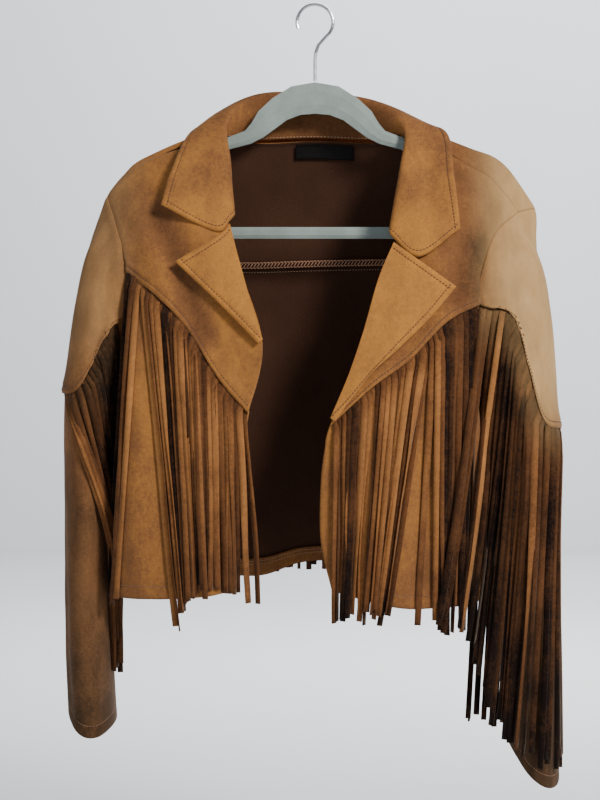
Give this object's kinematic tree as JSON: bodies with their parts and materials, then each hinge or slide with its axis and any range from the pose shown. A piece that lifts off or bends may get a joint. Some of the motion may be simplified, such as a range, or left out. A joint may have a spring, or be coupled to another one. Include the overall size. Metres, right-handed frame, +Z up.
{
  "type": "fringed suede jacket on a hanger",
  "caption": "Cropped suede jacket hung open on a slim flocked hanger, with a notched collar and lapels, slanting yokes, and long cut fringe on fronts, sleeves and back",
  "frame": {"origin": "the inside top of the hanger's hook, where a rail holds it", "axes": "+X to the wearer's left, -Y out of the jacket's front, +Z up"},
  "size_m": [0.5388, 0.1587, 0.8081],
  "materials": {
    "suede": "napped warm brown suede cloth, dark and unlined on the wrong side",
    "suede_fringe": "the same suede cloth cut into narrow strips, darker where they bunch",
    "label": "plain black woven satin tape",
    "flock": "grey-green velvet flock on a moulded core",
    "steel": "bright plated steel wire"
  },
  "bodies": {
    "root": {"front_yoke_right": "suede", "front_yoke_left": "suede", "front_right": "suede", "front_left": "suede", "back_yoke": "suede", "back": "suede", "back_hem": "suede", "collar": "suede", "lapel_right": "suede", "lapel_left": "suede", "sleeve_yoke_right": "suede", "sleeve_yoke_left": "suede", "sleeve_right": "suede", "sleeve_left": "suede", "fringe_front_right": "suede_fringe", "fringe_front_left": "suede_fringe", "fringe_sleeve_right": "suede_fringe", "fringe_sleeve_left": "suede_fringe", "fringe_back": "suede_fringe", "neck_label": "label", "hanger": "flock", "hanger_hook": "steel"}
  },
  "joints": []
}
